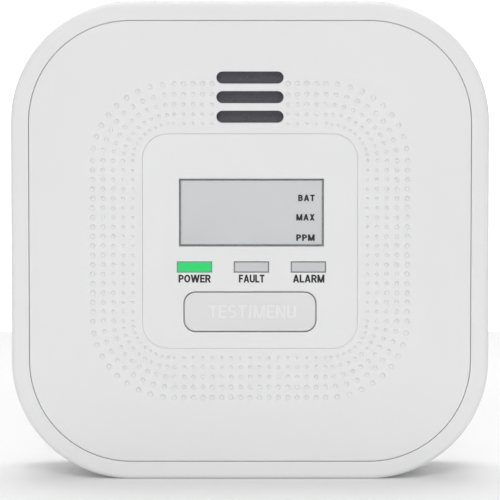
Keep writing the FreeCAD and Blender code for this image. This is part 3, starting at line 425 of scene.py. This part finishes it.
def combined(meshes, operation):
    """The first mesh joined with, or cut by, all the others."""
    scene = bpy.context.scene
    objects = [bpy.data.objects.new("combine", mesh) for mesh in meshes]
    for obj in objects:
        scene.collection.objects.link(obj)
    for other in objects[1:]:
        modifier = objects[0].modifiers.new("combine", "BOOLEAN")
        modifier.operation = operation
        modifier.solver = "MANIFOLD"
        modifier.object = other
    graph = bpy.context.evaluated_depsgraph_get()
    result = bpy.data.meshes.new_from_object(objects[0].evaluated_get(graph))
    for obj in objects:
        bpy.data.objects.remove(obj)
    return result


# ---------------------------------------------------------------- dimples of the front cover
RING_COUNT = 5
RING_HALF, RING_STEP, RING_GROWTH = 24.5 * MM, 1.93 * MM, 0.04 * MM
DIMPLE_D, DIMPLE_D_STEP = 0.7 * MM, 0.115 * MM
DIMPLE_DEPTH = 0.34 * MM
DIMPLE_DEEPENING = 0.3  # extra depth per extra diameter
DIMPLE_PITCH = 1.977 * MM
ACROSS, UPRIGHT = 17, 18  # dimples along each level and each upright run
STRAIGHT_X = (ACROSS - 1) / 2 * DIMPLE_PITCH
STRAIGHT_Z = (UPRIGHT - 1) / 2 * DIMPLE_PITCH
CORNER_DIMPLES, CORNER_STEP = 9, 9.1  # count and step in degrees
DIMPLE_MID_Z = PANEL_MID.z + 0.05 * MM  # middle of the rings
SLOT_CLEAR_X = 7.0 * MM  # the top rows leave room for the sounder slots


def dimple_places():
    """(x, z, diameter) of each dimple: five rounded-square rings round the panel."""
    places = []
    for ring in range(RING_COUNT):
        half = RING_HALF + ring * RING_STEP + ring * ring * RING_GROWTH
        size = DIMPLE_D + ring * DIMPLE_D_STEP
        for i in range(ACROSS):
            x = -STRAIGHT_X + i * DIMPLE_PITCH
            places.append((x, DIMPLE_MID_Z - half, size))
            if abs(x) > SLOT_CLEAR_X:
                places.append((x, DIMPLE_MID_Z + half, size))
        for i in range(UPRIGHT):
            z = DIMPLE_MID_Z - STRAIGHT_Z + i * DIMPLE_PITCH
            places.append((-half, z, size))
            places.append((half, z, size))
        for sx in (-1, 1):
            for sz in (-1, 1):
                for i in range(1, CORNER_DIMPLES + 1):
                    a = math.radians(CORNER_STEP * i)
                    x = sx * (STRAIGHT_X + (half - STRAIGHT_X) * math.cos(a))
                    z = DIMPLE_MID_Z + sz * (STRAIGHT_Z + (half - STRAIGHT_Z) * math.sin(a))
                    places.append((x, z, size))
    return places


def dimple_cutters(surface_y):
    """One mesh of closed bullet shapes, each a spherical cap below the cover's surface."""
    segments, rows = 16, 5
    above, flare = 0.25 * MM, 0.62  # height over the surface, and radius there per diameter
    turns = [2 * math.pi * k / segments for k in range(segments)]
    bm = bmesh.new()
    for x, z, size in dimple_places():
        depth = DIMPLE_DEPTH + DIMPLE_DEEPENING * (size - DIMPLE_D)
        ball = (size * size / 4 + depth * depth) / (2 * depth)
        centre_y = surface_y + depth - ball
        widest = math.asin(size / 2 / ball)
        rings = [(flare * size, surface_y - above)]
        for row in range(rows):
            a = widest * (1 - row / rows)
            rings.append((ball * math.sin(a), centre_y + ball * math.cos(a)))
        loops = [
            [bm.verts.new((x + r * math.cos(t), y, z + r * math.sin(t))) for t in turns]
            for r, y in rings
        ]
        tip = bm.verts.new((x, centre_y + ball, z))
        bm.faces.new(loops[0])
        for outer, inner in zip(loops, loops[1:]):
            for k in range(segments):
                j = (k + 1) % segments
                bm.faces.new((outer[k], outer[j], inner[j], inner[k]))
        for k in range(segments):
            bm.faces.new((loops[-1][k], loops[-1][(k + 1) % segments], tip))
    bmesh.ops.recalc_face_normals(bm, faces=bm.faces)
    mesh = bpy.data.meshes.new("dimple_cutters")
    bm.to_mesh(mesh)
    bm.free()
    return mesh


def dimpled_cover():
    """The front cover's CAD shape with its dimples cut in."""
    mesh = combined([merged_copy("front_cover", "front_shell"), dimple_cutters(COVER_FRONT_Y)],
                    "DIFFERENCE")
    smooth(mesh)
    cover = new_piece("front_shell", mesh, MATERIALS["case_white"], "casing")
    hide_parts("front_cover")


# ---------------------------------------------------------------- letters
# A plain upright letter set. Each capital is a list of flat polygons (bars, stems, slants and
# bent strips) in a box one unit high; t is the stroke's thickness.
LETTER_WIDTHS = {
    "A": 0.72, "B": 0.60, "E": 0.54, "F": 0.52, "L": 0.51, "M": 0.80, "N": 0.66, "O": 0.70,
    "P": 0.59, "R": 0.64, "S": 0.62, "T": 0.58, "U": 0.64, "W": 1.02, "X": 0.66, "/": 0.30,
}


def bar(x0, x1, z, t):
    """Level stroke at a height."""
    return [(x0, z - t / 2), (x1, z - t / 2), (x1, z + t / 2), (x0, z + t / 2)]


def stem(x, z0, z1, t):
    """Upright stroke."""
    return [(x - t / 2, z0), (x + t / 2, z0), (x + t / 2, z1), (x - t / 2, z1)]


def slant(x0, z0, x1, z1, t):
    """Sloping stroke with level ends."""
    k = t / 2 * math.hypot(x1 - x0, z1 - z0) / abs(z1 - z0)
    return [(x0 - k, z0), (x0 + k, z0), (x1 + k, z1), (x1 - k, z1)]


def strip(points, t):
    """Bent stroke along a smooth run of points: its two sides, offset by half of t."""
    left, right = [], []
    for i, (x, z) in enumerate(points):
        ax, az = points[max(i - 1, 0)]
        bx, bz = points[min(i + 1, len(points) - 1)]
        length = math.hypot(bx - ax, bz - az)
        nx, nz = -(bz - az) / length * t / 2, (bx - ax) / length * t / 2
        left.append((x + nx, z + nz))
        right.append((x - nx, z - nz))
    return left + right[::-1]


def arc(cx, cz, rx, rz, start, end, steps=8):
    """Points on an ellipse's arc; angles in degrees."""
    turn = [math.radians(start + (end - start) * i / steps) for i in range(steps + 1)]
    return [(cx + rx * math.cos(a), cz + rz * math.sin(a)) for a in turn]


def bowl(x0, x1, low, high, t):
    """Half loop on the right of a stem."""
    r = (high - low) / 2
    curve = arc(x1 - r, (low + high) / 2, r, r, 90, -90)
    return strip([(x0, high)] + curve + [(x0, low)], t)


def letter(char, t):
    """Polygons of one capital, within x from 0 to its width and z from 0 to 1."""
    w, h = LETTER_WIDTHS[char], t / 2
    right, top, waist = w - h, 1 - h, 0.5
    left_stem = stem(h, 0, 1, t)
    if char == "A":
        feet = 1.1 * h
        return [slant(feet, 0, w / 2, 1, t), slant(w - feet, 0, w / 2, 1, t),
                bar(0.26 * w, 0.74 * w, 0.29, 0.85 * t)]
    if char == "B":
        return [left_stem, bowl(h, right - 0.03, waist + 0.02, top, t),
                bowl(h, right, h, waist + 0.02, t)]
    if char == "E":
        return [left_stem, bar(h, w, top, t), bar(h, w - 0.04, waist, t), bar(h, w, h, t)]
    if char == "F":
        return [left_stem, bar(h, w, top, t), bar(h, w - 0.05, waist, t)]
    if char == "L":
        return [left_stem, bar(h, w, h, t)]
    if char == "M":
        return [left_stem, stem(right, 0, 1, t), slant(w / 2, 0, h, 1, t),
                slant(w / 2, 0, right, 1, t)]
    if char == "N":
        return [left_stem, stem(right, 0, 1, t), slant(right, 0, h, 1, t)]
    if char == "O":
        halves = ((90, 275), (-90, 95))
        return [strip(arc(w / 2, 0.5, w / 2 - h, 0.5 - h, a, b, 14), t) for a, b in halves]
    if char == "P":
        return [left_stem, bowl(h, right, 0.45, top, t)]
    if char == "R":
        return [left_stem, bowl(h, right - 0.02, 0.47, top, t), slant(right, 0, 0.52 * w, 0.47, t)]
    if char == "S":
        r = (top - h) / 4
        upper = arc(w / 2, top - r, right - w / 2, r, 25, 250, 12)
        lower = arc(w / 2, h + r, right - w / 2, r, 70, -155, 12)
        return [strip(upper + lower, t)]
    if char == "T":
        return [bar(0, w, top, t), stem(w / 2, 0, 1, t)]
    if char == "U":
        r = w / 2 - h
        return [strip([(h, 1)] + arc(w / 2, h + r, r, r, 180, 360, 12) + [(right, 1)], t)]
    if char == "W":
        xs = (h, 0.29 * w, 0.5 * w, 0.71 * w, right)
        ends = list(zip(xs, (1, 0, 1, 0, 1)))
        return [slant(*p, *q, t) for p, q in zip(ends, ends[1:])]
    if char == "X":
        return [slant(1.2 * h, 0, w - 1.2 * h, 1, t), slant(w - 1.2 * h, 0, 1.2 * h, 1, t)]
    return [slant(h, -0.04, w - h, 1.04, t)]  # the oblique stroke


def word_mesh(word, centre, width, height, y0, y1, style):
    """Capitals between depths y0 and y1, scaled to a width and a height."""
    t, spacing = style
    polygons, x = [], 0.0
    for char in word:
        polygons += [[(x + px, pz) for px, pz in p] for p in letter(char, t)]
        x += LETTER_WIDTHS[char] + spacing
    scale = width / (x - spacing)
    low_x, low_z = centre[0] - width / 2, centre[1] - height / 2
    placed = [[(low_x + px * scale, low_z + pz * height) for px, pz in p] for p in polygons]
    return combined([prism(p, y0, y1) for p in placed], "UNION")


# ---------------------------------------------------------------- legends
# A style is the strokes' thickness and the gap between letters, in the letter set's units.
INK_AND_SHADE_T, INK_AND_SHADE_SUNK = 0.02 * MM, 0.01 * MM  # how far print and painted shade lines stand out, and how far they sink in
LAMP_WORDS = (  # word, lamp over it, width
    ("POWER", "power_lamp", 6.75 * MM),
    ("FAULT", "fault_lamp", 5.35 * MM),
    ("ALARM", "alarm_lamp", 6.6 * MM),
)
LAMP_WORD_H, LAMP_WORD_STYLE = 1.66 * MM, (0.2, 0.04)
LAMP_WORD_DROP = 1.38 * MM  # from the lamp window's lower edge to the word's middle
LAMP_WORD_DX = 0.05 * MM
DISPLAY_WORDS = (  # word, height of its middle over the lens's middle, width
    ("BAT", 3.05 * MM, 3.45 * MM),
    ("MAX", -1.0 * MM, 3.85 * MM),
    ("PPM", -5.25 * MM, 3.85 * MM),
)
DISPLAY_WORD_H, DISPLAY_WORD_STYLE = 1.36 * MM, (0.215, 0.1)
DISPLAY_WORD_END = 13.2 * MM  # right end of these words, from the lens's middle
BUTTON_WORD_W, BUTTON_WORD_H, BUTTON_WORD_STYLE = 18.3 * MM, 2.85 * MM, (0.17, 0.08)
BUTTON_WORD_DX, BUTTON_WORD_DZ = 0.5 * MM, 0.05 * MM
BUTTON_WORD_RISE, BUTTON_WORD_BEVEL = 0.12 * MM, 0.1 * MM
BUTTON_FACE_DEPTH = 0.5 * MM  # takes in the button's whole crowned face
# width of the painted shade line round the lens
LENS_LINE_W = 0.28 * MM
LABEL_LINE_W, LABEL_LINE_INSET = 0.25 * MM, 1.2 * MM


def printed(word, centre, width, height, surface_y, style):
    """Flat printed word on a face that looks to the front."""
    y0, y1 = surface_y - INK_AND_SHADE_T, surface_y + INK_AND_SHADE_SUNK
    mesh = word_mesh(word, centre, width, height, y0, y1, style)
    new_piece(f"legend_{word.lower()}", mesh, PRINT_BLACK, "casing")


def panel_legends():
    """Lamp names under the lamps, and the fixed words at the display's right edge."""
    lamp_word_z = front_face("fault_light_guide")[0].z - LAMP_WORD_DROP
    for word, lamp, width in LAMP_WORDS:
        place = (box_of(lamp)[2].x + LAMP_WORD_DX, lamp_word_z)
        printed(word, place, width, LAMP_WORD_H, PANEL_LOW.y, LAMP_WORD_STYLE)
    right = WINDOW_MID.x + DISPLAY_WORD_END
    for word, dz, width in DISPLAY_WORDS:
        place = (right - width / 2, WINDOW_MID.z + dz)
        printed(word, place, width, DISPLAY_WORD_H, WINDOW_LOW.y, DISPLAY_WORD_STYLE)


def button_pieces():
    """The button with its face set back by the height of its raised legend, and the legend."""
    mesh = merged_copy("test_button", "button_cap")
    for v in mesh.vertices:
        if v.co.y < BUTTON_LOW.y + BUTTON_FACE_DEPTH:
            v.co.y += BUTTON_WORD_RISE
    smooth(mesh)
    cap = new_piece("button_cap", mesh, MATERIALS["button_white"], "test_button")
    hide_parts("test_button")

    centre = (BUTTON_MID.x + BUTTON_WORD_DX, BUTTON_MID.z + BUTTON_WORD_DZ)
    y0, y1 = BUTTON_LOW.y, BUTTON_LOW.y + BUTTON_WORD_RISE + INK_AND_SHADE_SUNK
    letters = word_mesh("TEST/MENU", centre, BUTTON_WORD_W, BUTTON_WORD_H, y0, y1,
                        BUTTON_WORD_STYLE)
    bm = bmesh.new()
    bm.from_mesh(letters)
    bmesh.ops.dissolve_limit(bm, angle_limit=math.radians(1), verts=bm.verts, edges=bm.edges)
    front_edges = [e for e in bm.edges if all(v.co.y < y0 + JOIN_DIST for v in e.verts)]
    bmesh.ops.bevel(bm, geom=front_edges, offset=BUTTON_WORD_BEVEL, segments=1,
                    affect="EDGES", clamp_overlap=True)
    bm.to_mesh(letters)
    bm.free()
    new_piece("button_legend", letters, LEGEND_WHITE, "test_button")


def rectangle_ring(name, low, high, width, y0, y1, body):
    """Thin line round a rectangle, between two corners and two depths: print on the label, painted
    shade round the lens.
    """
    bm = bmesh.new()
    loops = []
    for y in (y0, y1):
        for inset in (0.0, width):
            corners = (
                (low.x + inset, low.z + inset), (high.x - inset, low.z + inset),
                (high.x - inset, high.z - inset), (low.x + inset, high.z - inset),
            )
            loops.append([bm.verts.new((x, y, z)) for x, z in corners])
    front_outer, front_inner, back_outer, back_inner = loops
    pairs = (
        (front_outer, front_inner), (front_inner, back_inner),
        (back_inner, back_outer), (back_outer, front_outer),
    )
    for a, b in pairs:
        for k in range(4):
            j = (k + 1) % 4
            bm.faces.new((a[k], a[j], b[j], b[k]))
    bmesh.ops.recalc_face_normals(bm, faces=bm.faces)
    mesh = bpy.data.meshes.new(name)
    bm.to_mesh(mesh)
    bm.free()
    new_piece(name, mesh, PRINT_AND_SHADE_GREY, body)


def painted_lens_gap_shade():
    """Painted shade: a dark grey line round the lens's front edge, in place of the shade in the
    gap between lens and panel.
    """
    low, high = front_face("display_window")
    y0, y1 = low.y - INK_AND_SHADE_T, low.y + INK_AND_SHADE_SUNK
    rectangle_ring("painted_lens_gap_shade", low, high, LENS_LINE_W, y0, y1, "casing")


def label_border():
    """Printed line near the edge of the blank label on the battery door."""
    low, high, _ = box_of("rating_label")
    inset = Vector((LABEL_LINE_INSET, 0.0, LABEL_LINE_INSET))
    y0, y1 = high.y - INK_AND_SHADE_SUNK, high.y + INK_AND_SHADE_T
    rectangle_ring("label_border", low + inset, high - inset, LABEL_LINE_W, y0, y1,
                   "battery_door")


# ---------------------------------------------------------------- stage
AIM_Z = 0.0484
CAMERA_DISTANCE = 0.85
CAMERA_PITCH = 4.5  # degrees above level
VIEW_WIDTH = 0.1044  # metres across the picture at the front of the casing
WORLD_STRENGTH = 0.55
FLOOR_GLOW, BACKDROP_GLOW = 0.04, 1.0
LIGHTS = (  # name, place, aim, (width, height), watts, spread in degrees
    ("overhead", (0.0, 0.30, 0.9), (0.0, 0.12, 0.0), (0.9, 0.5), 0.8, 60.0),
    ("front_key", (0.0, -1.6, 1.1), (0.0, 0.0, 0.05), (0.7, 0.6), 9.4, 180.0),
    ("low_fill", (0.0, -1.2, 0.035), (0.0, 0.0, 0.04), (0.9, 0.06), 1.0, 180.0),
)


def make_camera():
    """Long lens a little above level, aimed at the front of the casing."""
    data = bpy.data.cameras.new("camera")
    camera = bpy.data.objects.new("camera", data)
    bpy.context.scene.collection.objects.link(camera)
    pitch = math.radians(CAMERA_PITCH)
    offset = Vector((0.0, -math.cos(pitch), math.sin(pitch))) * CAMERA_DISTANCE
    camera.location = Vector((0.0, COVER_FRONT_Y, AIM_Z)) + offset
    camera.rotation_euler = (-offset).to_track_quat("-Z", "Y").to_euler()
    data.sensor_width = 36.0
    data.lens = data.sensor_width * CAMERA_DISTANCE / VIEW_WIDTH
    data.clip_start = 0.01
    bpy.context.scene.camera = camera


def area_light(name, place, aim, size, power, spread):
    """Rectangular light aimed at a point."""
    data = bpy.data.lights.new(name, "AREA")
    data.shape = "RECTANGLE"
    data.size, data.size_y = size
    data.energy = power
    data.spread = math.radians(spread)
    light = bpy.data.objects.new(name, data)
    bpy.context.scene.collection.objects.link(light)
    light.location = place
    light.rotation_euler = (Vector(aim) - Vector(place)).to_track_quat("-Z", "Y").to_euler()


def strip_mesh(name, half_width, profile):
    """Sheet along x that follows the (y, z) points of its profile."""
    bm = bmesh.new()
    rows = [[bm.verts.new((x, y, z)) for x in (-half_width, half_width)] for y, z in profile]
    for low, high in zip(rows, rows[1:]):
        bm.faces.new((low[0], low[1], high[1], high[0]))
    mesh = bpy.data.meshes.new(name)
    bm.to_mesh(mesh)
    bm.free()
    mesh.shade_smooth()
    return mesh


def stage_piece(name, mesh, glow):
    """Pale matt surface that isn't part of the object and glows a little."""
    obj = bpy.data.objects.new(name, mesh)
    bpy.context.scene.collection.objects.link(obj)
    n = Nodes(name)
    colour_out = n.tint(n.noise(3.0, 2.0), (0.82, 0.82, 0.82), (0.84, 0.84, 0.84))
    shader = n.surface(colour_out, 0.8)
    shader.inputs["Emission Color"].default_value = (1.0, 1.0, 1.0, 1.0)
    shader.inputs["Emission Strength"].default_value = glow
    dress(obj, n.material)


def make_stage():
    """Pale floor, a glowing white sweep behind it, white surroundings and soft lights."""
    half_width, front, seam, back = 0.9, -3.0, 0.3, 1.6
    bend, height, steps = 0.4, 0.7, 12  # the sweep's bend, its height and the bend's steps
    sweep = [(seam, 0.0), (back - bend, 0.0)]
    for i in range(1, steps + 1):
        a = math.radians(90.0 * i / steps)
        sweep.append((back - bend + bend * math.sin(a), bend - bend * math.cos(a)))
    sweep.append((back, height))
    stage_piece("floor", strip_mesh("floor", half_width, [(front, 0.0), (seam, 0.0)]), FLOOR_GLOW)
    stage_piece("backdrop", strip_mesh("backdrop", half_width, sweep), BACKDROP_GLOW)

    world = bpy.data.worlds.new("world")
    bpy.context.scene.world = world
    world.use_nodes = True
    background = world.node_tree.nodes["Background"]
    background.inputs["Color"].default_value = (1.0, 1.0, 1.0, 1.0)
    background.inputs["Strength"].default_value = WORLD_STRENGTH

    for light in LIGHTS:
        area_light(*light)
    bpy.context.scene.view_settings.view_transform = "Standard"


# ---------------------------------------------------------------- build
make_camera()
make_stage()
dress_frame()
dimpled_cover()
panel_legends()
button_pieces()
# painted shade line round the lens
painted_lens_gap_shade()
label_border()
